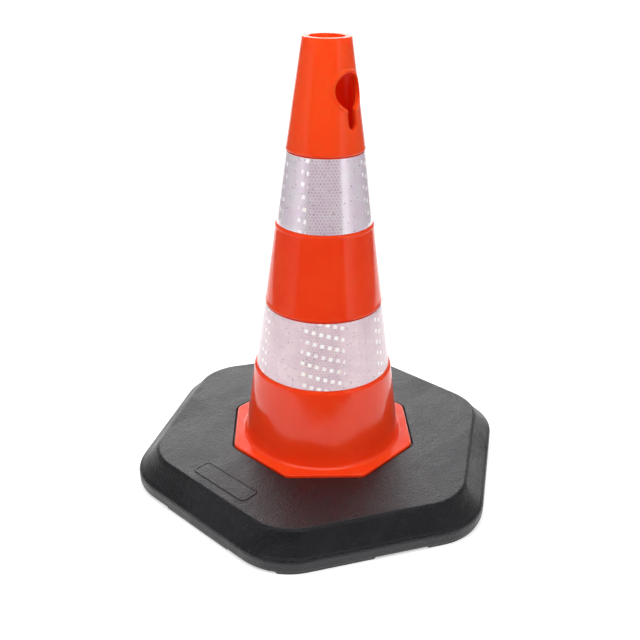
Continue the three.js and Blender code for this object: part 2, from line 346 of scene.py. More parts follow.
# ------------------------------------------------------------------ cone body
def build_cone_body():
    shell = Shell()
    lip = rounded([(18.6, 496.0, 0), (18.6, 500.0, 0.65), (25.33, 500.0, 0.95), (27.2, 488.0, 0)], 5)
    upper = [np.array((cone_out(z), z)) for z in (485.5, 482.0)]
    patch_z = np.linspace(PATCH_Z1, PATCH_Z0, PATCH_ROWS + 1)
    patch = [np.array((cone_out(z), z)) for z in patch_z]
    neck = [np.array((cone_out(z), z)) for z in (399.0, 395.0)]
    lower = rounded([
        (41.63, 391.2, 0), (41.78, 390.2, 0.8), (42.5, 388.2, 0.95), (42.2, 387.1, 0.5), (40.85, 385.3, 0.35),
        (51.8, 306.9, 0.3), (53.0, 306.6, 0.35), (54.2, 304.9, 0.9), (54.5, 303.9, 0.7), (54.32, 302.8, 0.7),
        (54.42, 301.2, 1.6), (56.0, 288.0, 6.0), (65.9, 217.2, 1.0), (66.75, 214.5, 0.95), (66.4, 213.3, 0.5), (65.35, 211.8, 0.35),
        (76.55, 134.4, 0.3), (77.9, 134.2, 0.35), (80.3, 131.4, 1.2), (80.75, 128.8, 1.8), (92.2, 47.0, 4.5), (92.75, 44.2, 2.2), (95.9, 42.5, 0),
    ], 3)
    lower = supported(lower, 26.0, 0.7)
    rows = supported(lip, 10.0, 0.5) + upper + patch + neck + lower
    start = next(i for i, r in enumerate(rows) if abs(r[1] - PATCH_Z1) < 1e-9 and abs(r[0] - cone_out(PATCH_Z1)) < 1e-9)
    hole_cols = {(k + half) % N for half in (0, N // 2) for k in range(-PATCH_COLS, PATCH_COLS)}
    rings = []
    for i, (r, z) in enumerate(rows):
        rings.append(shell.ring(polar(np.full(N, r), TH, z)))
        if i:
            shell.strip(rings[i - 1], rings[i], skip=hole_cols if start < i <= start + PATCH_ROWS else ())
    outer = {k: rings[start + k] for k in range(PATCH_ROWS + 1)}

    # flange: flat top out to the octagon, rounded edge, flat underside back to the skirt
    top, bottom, edge, a, c = 42.5, 37.9, 1.2, 105.2, 12.0
    last = rings[-1]

    def add(r, z):
        nonlocal last
        ring = shell.ring(polar(r, TH, z))
        shell.strip(last, ring)
        last = ring

    inside = octagon(TH, a - edge, c - edge)
    for t in (0.08, 0.35, 0.65, 0.9):
        add(95.9 + (inside - 95.9) * t, top)
    for q in np.linspace(0, math.pi / 2, 6):
        d = edge * (1 - math.sin(q))
        add(octagon(TH, a - d, c - d), top - edge * (1 - math.cos(q)))
    add(octagon(TH, a, c), (top + bottom) / 2)
    for q in np.linspace(0, math.pi / 2, 5):
        d = edge * (1 - math.cos(q))
        add(octagon(TH, a - d, c - d), bottom + edge * (1 - math.sin(q)))
    under = octagon(TH, a - edge, c - edge)
    for t in (0.1, 0.85):
        add(under + (96.9 - under) * t, bottom)
    add(np.full(N, 96.6), bottom)
    add(np.full(N, 96.6), bottom - 0.6)

    # skirt with barbs, and relief slots either side of each barb
    theta = TH.copy()
    step = 2 * math.pi / N
    slot_cols, barb = set(), np.zeros(N, bool)
    for i in range(4):
        mid = i * N // 4
        for s in (-1, 1):
            theta[(mid + s * 7) % N] = mid * step + s * math.radians(9.29)
            theta[(mid + s * 8) % N] = mid * step + s * math.radians(10.71)
            slot_cols.add((mid + 7) % N if s > 0 else (mid - 8) % N)
        for k in range(-6, 7):
            barb[(mid + k) % N] = True
    add(np.full(N, 96.6), 33.0)
    heights = [30.0, 24.0, 18.4, 17.8, 17.2, 15.4, 12.6, 12.2, 9.3, 8.6, 8.2]
    plain = [96.6, 96.6, 96.6, 96.6, 96.6, 96.6, 96.6, 96.6, 96.6, 96.3, 95.9]
    proud = [96.6, 96.6, 96.6, 97.3, 97.55, 97.55, 96.7, 96.6, 96.6, 96.3, 95.9]
    outside = []
    for k, (z, r0, r1) in enumerate(zip(heights, plain, proud)):
        ring = shell.ring(polar(np.where(barb, r1, r0), theta, z))
        shell.strip(last, ring, skip=slot_cols if k else ())
        outside.append(ring)
        last = ring
    foot_out = shell.ring(polar(np.full(N, 95.4), theta, 8.0))
    foot_in = shell.ring(polar(np.full(N, 93.1), theta, 8.0))
    shell.strip(last, foot_out, skip=slot_cols)
    shell.strip(foot_out, foot_in, skip=slot_cols)
    inside_rows = []
    skirt_in = lambda z: 92.8 + (90.4 - 92.8) * (z - 8) / 32.0
    last = foot_in
    for z in reversed(heights):
        ring = shell.ring(polar(np.full(N, skirt_in(z)), theta, z))
        shell.strip(last, ring, skip=slot_cols)
        inside_rows.append(ring)
        last = ring
    inside_rows.reverse()
    for s in slot_cols:
        for col in (s, (s + 1) % N):
            for k in range(len(heights) - 1):
                shell.f.append((outside[k][col], outside[k + 1][col], inside_rows[k + 1][col], inside_rows[k][col]))
            shell.f.append((outside[-1][col], foot_out[col], foot_in[col], inside_rows[-1][col]))
        e = (s + 1) % N
        shell.f.append((outside[0][s], outside[0][e], inside_rows[0][e], inside_rows[0][s]))

    # inside of the cone, up to the top hole
    hollow = supported(rounded([
        (90.6, 38.0, 0), (90.4, 40.0, 1.5), (88.6, 47.5, 3.0), (77.3, 127.5, 2.5), (73.8, 133.2, 2.5),
        (62.5, 212.0, 3.0), (48.9, 307.0, 3.0), (37.7, 385.0, 3.0), (cone_in(400.0), 400.0, 0),
    ], 2), 30.0, 0.9)
    for r, z in hollow:
        add(np.full(N, r), z)
    above = [np.array((cone_in(z), z)) for z in patch_z[::-1]]
    inner_rings = []
    for i, (r, z) in enumerate(above):
        ring = shell.ring(polar(np.full(N, r), TH, z))
        shell.strip(last, ring, skip=hole_cols if i else ())
        inner_rings.append(ring)
        last = ring
    inner = {k: inner_rings[PATCH_ROWS - k] for k in range(PATCH_ROWS + 1)}
    for r, z in rounded([(cone_in(482.0), 482.0, 0), (22.2, 493.6, 1.0), (18.6, 495.4, 0)], 4):
        add(np.full(N, r), z)
    shell.strip(last, rings[0])

    keyhole(shell, outer, inner, 1)
    keyhole(shell, outer, inner, -1)
    ob = shell.make("cone_body_moulding")
    smooth(ob, 34)
    return ob


# ------------------------------------------------------------------ ballast base
PLAQUE_Y, PLAQUE_W, PLAQUE_H, PLAQUE_R, PLAQUE_RISE = -157.5, 84.0, 24.0, 6.0, 0.7


def rounded_rectangle(fraction, inset):
    """Points of the blank pad's outline, inset by a distance, for fractions of the way round from the +X side's middle."""
    w, h, r = PLAQUE_W / 2 - inset, PLAQUE_H / 2 - inset, max(PLAQUE_R - inset, 0.3)
    pts = []
    for cx, cy, a in ((w - r, h - r, 0), (-w + r, h - r, 90), (-w + r, -h + r, 180), (w - r, -h + r, 270)):
        for q in np.linspace(a, a + 90, 13):
            pts.append((cx + r * math.cos(math.radians(q)), cy + r * math.sin(math.radians(q))))
    pts = [(w, 0.0)] + pts + [(w, 0.0)]
    pts = np.array(pts)
    s = np.concatenate([[0], np.cumsum(np.hypot(*np.diff(pts, axis=0).T))])
    f = np.asarray(fraction) * s[-1]
    return np.stack([np.interp(f, s, pts[:, 0]), np.interp(f, s, pts[:, 1])], 1)


def build_base():
    shell = Shell()
    last = None
    first = None

    def add(r, z, skip=()):
        nonlocal last, first
        ring = shell.ring(polar(r, TH, z))
        if last is not None:
            shell.strip(last, ring, skip=skip)
        else:
            first = ring
        last = ring
        return ring

    # pocket wall, its chamfer, then the flat plate from the octagon out to the hexagon
    for a, c, z in ((107.1, 13.5, 38.3), (107.1, 13.5, 39.9), (107.16, 13.5, 40.15), (107.4, 13.6, 40.5), (107.75, 13.8, 40.85), (108.05, 14.0, 40.97), (108.4, 14.2, 41.0), (109.4, 14.8, 41.0)):
        add(octagon(TH, a, c), z)
    o = octagon(TH, 109.4, 14.8)
    edge = hexagon(TH, 176.6, 56.0)
    plate = {}
    mid = 3 * N // 4
    reach = 13
    gap_cols = {(mid + k) % N for k in range(-reach, reach)}
    ts = [0.1, 0.2, 0.3, 0.375, 0.48, 0.6, 0.72, 0.84, 0.925, 0.97]
    gap_first, gap_last = 3, 9                # spans left open round the blank pad
    for i, t in enumerate(ts):
        plate[i] = add(o + (edge - o) * t, 41.0, gap_cols if gap_first < i <= gap_last else ())
    rows = rounded([
        (176.6, 56.0, 41.0, 0), (179.6, 57.8, 41.0, 3.2), (182.9, 60.0, 38.6, 3.4), (191.0, 65.6, 29.0, 22.0), (199.4, 69.4, 20.2, 6.0),
        (202.5, 71.8, 18.1, 3.2), (203.4, 72.4, 15.2, 3.0), (203.1, 72.0, 6.2, 3.0), (202.5, 71.4, 4.0, 1.4), (201.0, 70.0, 3.0, 1.0), (198.6, 68.0, 3.0, 0),
    ], 6)
    for a, c, z in supported(rows, 6.0, 0.8):
        add(hexagon(TH, a, c), z)
    # underside: foot of the wall, hollow, boss ring, ledge and hole, pocket floor
    add(hexagon(TH, 189.0, 59.0), 3.0)
    for a, c, z in ((188.2, 58.2, 3.2), (188.0, 58.0, 4.2), (188.0, 58.0, 14.2), (187.6, 57.8, 15.6), (173.4, 50.7, 28.8), (171.4, 49.4, 29.85), (169.0, 47.8, 30.0)):
        add(hexagon(TH, a, c), z)
    wall = hexagon(TH, 169.0, 47.8)
    for t in (0.1, 0.4, 0.7, 0.93):
        add(wall + (113.5 - wall) * t, 30.0)
    for r, z in ((113.5, 30.0), (112.4, 29.6), (112.0, 28.5), (112.0, 4.0), (111.7, 3.3), (111.0, 3.0), (103.4, 3.0), (102.7, 3.3), (102.5, 4.0), (102.5, 17.2), (102.3, 18.2), (98.5, 21.4), (98.0, 22.0), (98.0, 23.0), (98.0, 36.8), (98.2, 37.35), (98.8, 37.5)):
        add(np.full(N, r), z)
    floor = octagon(TH, 106.4, 13.0)
    for t in (0.15, 0.85):
        add(98.8 + (floor - 98.8) * t, 37.5)
    add(floor, 37.5)
    add(octagon(TH, 106.95, 13.3), 37.7)
    shell.strip(last, first)

    # blank moulded pad: rings from the gap in the plate in to the pad, with a raised border
    top_ring, low_ring = plate[gap_first], plate[gap_last]
    cols = [(mid + k) % N for k in range(-reach, reach + 1)]
    # anticlockwise seen from above, starting at the middle of the +X side
    spans = gap_last - gap_first
    path = []
    right = [plate[i][cols[-1]] for i in range(gap_last, gap_first - 1, -1)]       # outwards to inwards
    left = [plate[i][cols[0]] for i in range(gap_first, gap_last + 1)]
    half = len(right) // 2
    path += right[half:-1]
    path += [top_ring[c] for c in reversed(cols)][:-1]
    path += left[:-1]
    path += [low_ring[c] for c in cols][:-1]
    path += right[:half]
    border = np.array([shell.v[i] for i in path])
    centre = np.array((0.0, PLAQUE_Y))
    # the pad's points are spread over the border's points in equal shares of the way round
    count = 208
    s = np.concatenate([[0], np.cumsum(np.hypot(*np.diff(np.vstack([border, border[:1]])[:, :2], axis=0).T))])
    key = s[:-1] / s[-1]
    m = len(path)
    heights = [(-3.2, 0.0), (-1.4, 0.0), (-0.55, 0.0), (-0.28, 0.05), (-0.1, 0.2), (0.08, 0.5), (0.3, 0.66), (0.6, PLAQUE_RISE), (1.5, PLAQUE_RISE), (1.8, 0.65), (2.0, 0.5), (2.2, 0.32), (2.5, 0.26), (3.4, 0.25), (6.0, 0.25)]
    f = np.interp(np.linspace(0, m, count + 1)[:-1], np.arange(m + 1), np.append(key, 1.0))
    made = []
    for inset, z in heights:
        q = rounded_rectangle(f, inset) + centre
        made.append(shell.ring(np.column_stack([q, np.full(count, 41.0 + z)])))
    for a, b in zip(made, made[1:]):
        shell.strip(a, b)
    shell.f.append(tuple(made[-1]))
    # the border has m points and the pad ring count points: fan them together
    t_pad, t_border = f, key
    i = j = 0
    while i < count or j < m:
        next_pad = t_pad[i + 1] if i + 1 < count else 1.0
        next_border = t_border[j + 1] if j + 1 < m else 1.0
        if i < count and (j >= m or next_pad <= next_border):
            shell.f.append((made[0][i % count], made[0][(i + 1) % count], path[j % m]))
            i += 1
        else:
            shell.f.append((made[0][i % count], path[(j + 1) % m], path[j % m]))
            j += 1
    ob = shell.make("rubber_ballast_base")

    # sixteen ribs under the base, from the boss ring to the wall
    ribs = Shell()
    for k in range(16):
        a = k * math.pi / 8
        c, s_ = math.cos(a), math.sin(a)
        reach_low = float(hexagon(np.array([a]), 191.0, 60.0)[0])
        reach_high = float(hexagon(np.array([a]), 175.5, 52.0)[0])
        section = [(109.5, 6.0), (110.5, 5.0), (reach_low - 1, 5.0), (reach_low, 6.0), (reach_low, 14.5), (reach_high, 31.2), (109.5, 31.2)]
        loops = []
        for y, shrink in ((-3.0, 0), (3.0, 0)):
            loops.append(ribs.ring([(r * c - y * s_, r * s_ + y * c, z) for r, z in section]))
        ribs.strip(loops[0], loops[1])
        ribs.f.append(tuple(loops[0]))
        ribs.f.append(tuple(loops[1]))
    join_in(ob, ribs.make("ribs"))

    # eight foot pads with sloping ends, their outer edge set in from the lip
    pads = Shell()
    for k in range(8):
        mid_a = k * math.pi / 4
        u = np.linspace(-1, 1, 37)
        loops = []
        for z, half_deg, kind in ((0.0, 13.55, "o0"), (0.35, 13.75, "o1"), (1.1, 13.95, "o2"), (3.4, 14.55, "o3"), (6.2, 14.8, "o4"), (6.2, 14.8, "i1"), (0.5, 13.8, "i0"), (0.0, 13.55, "ib")):
            th = mid_a + np.radians(half_deg) * u
            if kind[0] == "o":
                a_, c_ = {"o0": (199.9, 68.6), "o1": (200.7, 69.3), "o2": (201.2, 69.8), "o3": (201.2, 69.8), "o4": (201.0, 69.6)}[kind]
                r = hexagon(th, a_, c_)
            else:
                r = np.full(len(u), {"i1": 168.0, "i0": 168.0, "ib": 168.6}[kind])
            loops.append(pads.ring(polar(r, th, z)))
        for a_, b_ in zip(loops, loops[1:] + loops[:1]):
            pads.strip(a_, b_, closed=False)
        pads.f.append(tuple(l[0] for l in loops))
        pads.f.append(tuple(l[-1] for l in loops))
    join_in(ob, pads.make("pads"))
    bm = bmesh.new()
    bm.from_mesh(ob.data)
    bmesh.ops.remove_doubles(bm, verts=bm.verts, dist=2e-6)
    bmesh.ops.recalc_face_normals(bm, faces=bm.faces)
    bm.to_mesh(ob.data)
    bm.free()
    smooth(ob, 40)
    return ob


# ------------------------------------------------------------------ reflective bands
SEAM = CAMERA_AZ + math.pi + math.radians(6)    # lap joint at the back


def build_band(name, top, r_top, bottom, r_bottom):
    """A strip of sheeting wrapped round the recess, its last 9 mm lapped over its start. UVs are the flat strip, in metres."""
    shell = Shell()
    thick, lap = 0.42, 9.0
    mean = (r_top + r_bottom) / 2
    extra = lap / mean
    turns = np.linspace(0, 2 * math.pi + extra, N + 9)
    ramp = smoothstep((turns - (2 * math.pi - 2.2 / mean)) / (2.0 / mean)) * (thick + 0.04)
    theta = SEAM + turns
    slope = (r_bottom - r_top) / (top - bottom)
    alpha = math.atan(slope)
    section = []                                   # (distance in from the outer face, height)
    h = top - bottom
    for z in (0.0,):
        section += [(thick - 0.1, bottom + 0.04), (0.16, bottom), (0.05, bottom + 0.05), (0.0, bottom + 0.18)]
    for k in range(1, 12):
        section.append((0.0, bottom + h * k / 12))
    section += [(0.0, top - 0.18), (0.05, top - 0.05), (0.16, top), (thick - 0.1, top - 0.04), (thick, top - 0.25), (thick, bottom + 0.25)]
    rings = []
    for depth, z in section:
        r = r_top + (r_bottom - r_top) * (top - z) / h - depth
        rings.append(shell.ring(polar(r + ramp, theta, z)))
    for a, b in zip(rings, rings[1:] + rings[:1]):
        shell.strip(a, b, closed=False)
    shell.f.append(tuple(r[0] for r in rings))
    shell.f.append(tuple(r[-1] for r in rings))
    ob = shell.make(name)
    smooth(ob, 38)
    # flat pattern of a cone: the strip is an arc cut from a flat sheet
    uv = ob.data.uv_layers.new(name="sheet")
    apex = top + r_top / slope
    co = np.zeros(len(ob.data.vertices) * 3, np.float64)
    ob.data.vertices.foreach_get("co", co)
    co = co.reshape(-1, 3) / MM
    ang = (np.arctan2(co[:, 1], co[:, 0]) - SEAM) % (2 * math.pi)
    rho = (apex - co[:, 2]) / math.cos(alpha)
    loops = np.zeros(len(ob.data.loops), np.int32)
    ob.data.loops.foreach_get("vertex_index", loops)
    ang_l, rho_l = ang[loops], rho[loops]
    for poly in ob.data.polygons:                  # keep a face's angles together where they pass the seam
        idx = list(poly.loop_indices)
        a = ang_l[idx]
        if a.max() - a.min() > math.pi:
            a = np.where(a < math.pi, a + 2 * math.pi, a)
            ang_l[idx] = a
    psi = (ang_l - math.pi) * math.sin(alpha)
    flat = np.stack([rho_l * np.sin(psi), -rho_l * np.cos(psi)], 1) * MM
    uv.data.foreach_set("uv", flat.astype(np.float32).ravel())
    return ob


# ------------------------------------------------------------------ node helpers
class Nodes:
    def __init__(self, name):
        self.mat = bpy.data.materials.new(name)
        self.mat.use_nodes = True
        self.tree = self.mat.node_tree
        self.tree.nodes.clear()
        self.out = self.new("ShaderNodeOutputMaterial")
        self.bsdf = self.new("ShaderNodeBsdfPrincipled")
        self.link(self.bsdf.outputs[0], self.out.inputs["Surface"])

    def new(self, kind, **props):
        n = self.tree.nodes.new(kind)
        for k, v in props.items():
            setattr(n, k, v)
        return n

    def link(self, a, b):
        self.tree.links.new(a, b)

    def put(self, socket, value):
        if isinstance(value, bpy.types.NodeSocket):
            self.link(value, socket)
        else:
            socket.default_value = value

    def math(self, op, a, b=None, c=None, clamp=False):
        n = self.new("ShaderNodeMath", operation=op, use_clamp=clamp)
        for i, v in enumerate((a, b, c)):
            if v is not None:
                self.put(n.inputs[i], v)
        return n.outputs[0]

    def vec(self, op, a, b=None, scale=None):
        n = self.new("ShaderNodeVectorMath", operation=op)
        self.put(n.inputs[0], a)
        if b is not None:
            self.put(n.inputs[1], b)
        if scale is not None:
            self.put(n.inputs["Scale"], scale)
        return n.outputs["Value"] if op in ("LENGTH", "DOT_PRODUCT", "DISTANCE") else n.outputs["Vector"]

    def noise(self, vector, scale, detail=2.0, rough=0.5, distortion=0.0):
        n = self.new("ShaderNodeTexNoise")
        self.put(n.inputs["Vector"], vector)
        n.inputs["Scale"].default_value = scale
        n.inputs["Detail"].default_value = detail
        n.inputs["Roughness"].default_value = rough
        n.inputs["Distortion"].default_value = distortion
        return n.outputs["Fac"]

    def remap(self, value, a, b, c=0.0, d=1.0, smooth_=True):
        n = self.new("ShaderNodeMapRange", interpolation_type="SMOOTHSTEP" if smooth_ else "LINEAR")
        self.put(n.inputs["Value"], value)
        for key, v in zip(("From Min", "From Max", "To Min", "To Max"), (a, b, c, d)):
            self.put(n.inputs[key], v)
        return n.outputs["Result"]

    def mix(self, fac, a, b, blend="MIX"):
        n = self.new("ShaderNodeMix", data_type="RGBA", blend_type=blend)
        self.put(n.inputs[0], fac)
        self.put(n.inputs[6], a if isinstance(a, bpy.types.NodeSocket) else (*a, 1.0))
        self.put(n.inputs[7], b if isinstance(b, bpy.types.NodeSocket) else (*b, 1.0))
        return n.outputs[2]

    def bump(self, height, strength, distance, normal=None):
        n = self.new("ShaderNodeBump")
        self.put(n.inputs["Height"], height)
        n.inputs["Strength"].default_value = strength
        n.inputs["Distance"].default_value = distance
        if normal is not None:
            self.link(normal, n.inputs["Normal"])
        return n.outputs[0]

    def coords(self):
        return self.new("ShaderNodeTexCoord").outputs["Object"]

    def scaled(self, vector, x, y, z):
        return self.vec("MULTIPLY", vector, (x, y, z))


# ------------------------------------------------------------------ materials
def cone_plastic():
    m = Nodes("orange_moulded_plastic")
    p = m.coords()
    sep = m.new("ShaderNodeSeparateXYZ")
    m.link(p, sep.inputs[0])
    z = sep.outputs["Z"]
    cloud = m.noise(p, 22.0, 3.0, 0.55)
    flow = m.noise(m.scaled(p, 1.0, 1.0, 0.12), 160.0, 3.0, 0.6)          # faint vertical draw lines
    base = m.mix(m.remap(cloud, 0.35, 0.68), (0.855, 0.051, 0.0085), (0.890, 0.057, 0.0095))
    base = m.mix(m.remap(flow, 0.45, 0.75, 0.0, 0.25), base, (0.91, 0.062, 0.011))
    base = m.mix(m.remap(z, 0.28, 0.46), base, (0.93, 0.077, 0.0115))                # painted light: the upper cone is painted a lighter orange, standing in for the stronger light near the top
    # scuffs: short pale scratches, more of them low on the cone and on the flange
    scratch = m.noise(m.scaled(p, 1.0, 1.0, 3.2), 260.0, 2.0, 0.65, 1.2)
    where = m.noise(p, 34.0, 2.0, 0.5)
    low = m.remap(z, 0.30, 0.04, 0.25, 1.0)
    scuff = m.math("MULTIPLY", m.remap(scratch, 0.70, 0.78), m.math("MULTIPLY", m.remap(where, 0.52, 0.66), low))
    base = m.mix(m.math("MULTIPLY", scuff, 0.30), base, (0.95, 0.34, 0.20))
    m.link(base, m.bsdf.inputs["Base Color"])
    rough = m.math("ADD", m.remap(cloud, 0.3, 0.7, 0.105, 0.145), m.math("MULTIPLY", scuff, 0.22))
    m.link(rough, m.bsdf.inputs["Roughness"])
    m.bsdf.inputs["IOR"].default_value = 1.50
    m.bsdf.inputs["Specular IOR Level"].default_value = 0.32
    m.bsdf.inputs["Subsurface Weight"].default_value = 0.85
    m.bsdf.inputs["Subsurface Radius"].default_value = (1.0, 0.10, 0.03)
    m.bsdf.inputs["Subsurface Scale"].default_value = 0.010
    peel = m.noise(p, 420.0, 2.0, 0.5)
    wave = m.noise(m.scaled(p, 1.0, 1.0, 0.5), 38.0, 1.0, 0.5)
    n1 = m.bump(peel, 0.10, 0.0004)
    n2 = m.bump(wave, 0.22, 0.0022, n1)
    n3 = m.bump(scuff, 0.25, 0.0002, n2)
    m.link(n3, m.bsdf.inputs["Normal"])
    return m.mat


def base_rubber():
    m = Nodes("recycled_rubber")
    p = m.coords()
    fine = m.noise(p, 640.0, 3.0, 0.62)                                   # pebbled moulding skin
    grain = m.new("ShaderNodeTexVoronoi", feature="F1")
    m.link(p, grain.inputs["Vector"])
    grain.inputs["Scale"].default_value = 520.0
    warp = m.new("ShaderNodeTexNoise")
    m.link(p, warp.inputs["Vector"])
    warp.inputs["Scale"].default_value = 13.0
    warp.inputs["Detail"].default_value = 2.0
    moved = m.vec("ADD", p, m.scaled(warp.outputs["Color"], 0.055, 0.055, 0.0))
    flow = m.noise(m.vec("MULTIPLY", moved, (1.0, 0.45, 0.3)), 34.0, 4.0, 0.60)   # wavy flow marks
    cloud = m.noise(p, 70.0, 3.0, 0.6)
    base = m.mix(m.remap(flow, 0.35, 0.68), (0.0038, 0.0035, 0.0043), (0.0062, 0.0058, 0.0069))
    base = m.mix(m.remap(cloud, 0.46, 0.75, 0.0, 0.6), base, (0.0090, 0.0086, 0.0098))
    base = m.mix(m.remap(fine, 0.56, 0.74, 0.0, 0.5), base, (0.0195, 0.0188, 0.0208))
    speck = m.remap(m.noise(p, 480.0, 1.0, 0.5), 0.74, 0.80)
    base = m.mix(m.math("MULTIPLY", speck, 0.40), base, (0.10, 0.095, 0.095))
    m.link(base, m.bsdf.inputs["Base Color"])
    rough = m.math("ADD", m.remap(flow, 0.32, 0.68, 0.30, 0.44), m.remap(fine, 0.3, 0.7, -0.05, 0.07))
    m.link(rough, m.bsdf.inputs["Roughness"])
    m.bsdf.inputs["IOR"].default_value = 1.49
    m.bsdf.inputs["Specular Tint"].default_value = (0.985, 0.955, 1.0, 1.0)
    n0 = m.bump(m.noise(p, 380.0, 2.0, 0.6), 0.55, 0.0009)
    n1 = m.bump(fine, 0.70, 0.0008, n0)
    n2 = m.bump(grain.outputs["Distance"], 0.40, 0.0007, n1)
    n3 = m.bump(flow, 0.50, 0.0030, n2)
    m.link(n3, m.bsdf.inputs["Normal"])
    return m.mat


def sheeting(name, sine, metal, coat, cast, weave, comb, comb_zones_without_painted_sheen, glint_zones):
    """Microprismatic film: round cells in a honeycomb, a slanted lattice of square seal marks, faint weave and specks.

    All of it is laid out on the flat film; zones are (centre, half width) in degrees round the cone, repeated behind.
    Painted light: in the glint zones the seal marks are painted bright white and gold as glints, and outside the comb
    zones the honeycomb is faded as under a painted sheen.
    """
    m = Nodes(name)
    uv = m.new("ShaderNodeUVMap", uv_map="sheet").outputs[0]
    sep = m.new("ShaderNodeSeparateXYZ")
    m.link(uv, sep.inputs[0])
    angle = m.math("DIVIDE", m.math("ARCTAN2", sep.outputs["X"], m.math("MULTIPLY", sep.outputs["Y"], -1.0)), sine)

    def shade(*colour):
        return tuple(min(a * b, 0.98) for a, b in zip(colour, cast))

    def zones(spans, fade=3.0):
        total = None
        for centre, half in spans:
            d = m.math("ABSOLUTE", m.math("SINE", m.math("SUBTRACT", angle, math.radians(centre))))
            part = m.remap(d, math.sin(math.radians(half)), math.sin(math.radians(half + fade)), 1.0, 0.0)
            total = part if total is None else m.math("MAXIMUM", total, part)
        return total

    def grid(vector, px, py, offset):
        shifted = m.vec("ADD", m.scaled(vector, 1 / px, 1 / py, 0.0), (offset, offset, 0.0))
        cell = m.vec("FLOOR", shifted)
        return cell, m.scaled(m.vec("SUBTRACT", m.vec("SUBTRACT", shifted, cell), (0.5, 0.5, 0.0)), px, py, 0.0)

    # honeycomb
    pitch = 0.0037
    rings = [m.vec("LENGTH", grid(uv, pitch, pitch * math.sqrt(3), o)[1]) for o in (0.0, 0.5)]
    d = m.math("MINIMUM", *rings)
    cell = m.remap(d, pitch * 0.36, pitch * 0.47, 1.0, 0.0)              # 1 in the cell, 0 on the walls
    # painted sheen: the cells keep full contrast only in the comb zones and are faded elsewhere, as a reflection would
    # wash them out
    shown = m.remap(zones(comb_zones_without_painted_sheen, 6.0), 0.0, 1.0, comb * 0.22, comb)
    tint = m.noise(uv, 55.0, 3.0, 0.55)
    sheet = m.mix(m.remap(tint, 0.35, 0.65), shade(0.82, 0.685, 0.765), shade(0.88, 0.765, 0.81))
    core = m.mix(m.remap(tint, 0.35, 0.65), shade(0.56, 0.45, 0.50), shade(0.63, 0.52, 0.55))
    base = m.mix(m.math("MULTIPLY", cell, shown), sheet, core)
    # weave: two crossed sets of fine threads
    threads = m.math("MULTIPLY", m.noise(m.scaled(uv, 700.0, 90.0, 1.0), 1.0, 1.0), m.noise(m.scaled(uv, 110.0, 760.0, 1.0), 1.0, 1.0))
    base = m.mix(m.remap(threads, 0.16, 0.36, weave, 0.0), base, (0.62, 0.50, 0.59))
    # specks: sparse grey-green dots
    spots = m.new("ShaderNodeTexVoronoi", feature="F1")
    m.link(uv, spots.inputs["Vector"])
    spots.inputs["Scale"].default_value = 240.0
    pick = m.new("ShaderNodeSeparateColor")
    m.link(spots.outputs["Color"], pick.inputs[0])
    dots = m.math("MULTIPLY", m.remap(spots.outputs["Distance"], 0.12, 0.30, 1.0, 0.0), m.remap(pick.outputs[0], 0.35, 0.9, 0.0, 0.8))
    base = m.mix(dots, base, (0.30, 0.32, 0.28))
    # square seal marks, faint everywhere; painted glints: in the glint zones they are painted bright white and gold
    tilt = math.radians(14.0)
    turned = m.new("ShaderNodeCombineXYZ")
    m.link(m.vec("DOT_PRODUCT", uv, (math.cos(tilt), -math.sin(tilt), 0.0)), turned.inputs[0])
    m.link(m.vec("DOT_PRODUCT", uv, (math.sin(tilt), math.cos(tilt), 0.0)), turned.inputs[1])
    marks, lucks = None, None
    for o in (0.0, 0.5):
        ident, local = grid(turned.outputs[0], 0.0084, 0.0248, o)
        axes = m.new("ShaderNodeSeparateXYZ")
        m.link(m.vec("ABSOLUTE", local), axes.inputs[0])
        square = m.remap(m.math("MAXIMUM", axes.outputs["X"], axes.outputs["Y"]), 0.0019, 0.0024, 1.0, 0.0)
        luck = m.new("ShaderNodeTexWhiteNoise", noise_dimensions="3D")
        m.link(m.vec("ADD", ident, (o, 7.3 + o, 1.0)), luck.inputs["Vector"])
        part = m.math("MULTIPLY", square, m.remap(luck.outputs["Value"], 0.0, 0.4, 0.75, 1.0))
        marks = part if marks is None else m.math("MAXIMUM", marks, part)
    broken = m.remap(m.noise(uv, 900.0, 1.0, 0.5), 0.32, 0.50, 0.45, 1.0)
    # painted glint: the marks are painted bright in the glint zones and stay faint elsewhere
    painted_glint = m.math("MULTIPLY", m.math("MULTIPLY", marks, broken), m.remap(zones(glint_zones), 0.0, 1.0, 0.09, 1.0))
    glint_colour = m.mix(m.remap(m.noise(uv, 210.0, 1.0, 0.5), 0.54, 0.66), (1.0, 1.0, 1.0), (0.98, 0.93, 0.80))
    base = m.mix(painted_glint, base, glint_colour)
    m.link(base, m.bsdf.inputs["Base Color"])
    # roughness and metallic follow the painted glints, so they stay white
    m.link(m.math("SUBTRACT", m.remap(tint, 0.3, 0.7, 0.20, 0.27), m.math("MULTIPLY", painted_glint, 0.08)), m.bsdf.inputs["Roughness"])
    m.link(m.remap(painted_glint, 0.0, 0.8, metal, 0.0), m.bsdf.inputs["Metallic"])
    m.bsdf.inputs["Coat Weight"].default_value = coat
    m.bsdf.inputs["Coat IOR"].default_value = 1.7
    m.bsdf.inputs["Coat Roughness"].default_value = 0.10
    n1 = m.bump(m.math("SUBTRACT", m.math("MULTIPLY", marks, 0.6), m.math("MULTIPLY", cell, 0.5)), 0.30, 0.00025)
    n2 = m.bump(m.noise(m.scaled(uv, 1.0, 0.25, 1.0), 60.0, 2.0), 0.22, 0.0010, n1)
    m.link(n2, m.bsdf.inputs["Normal"])
    return m.mat


# ------------------------------------------------------------------ studio
def direction(azimuth, elevation):
    """Unit vector; azimuth in degrees from the camera's side, positive to the camera's right."""
    a, e = CAMERA_AZ + math.radians(azimuth), math.radians(elevation)
    return Vector((math.cos(a) * math.cos(e), math.sin(a) * math.cos(e), math.sin(e)))


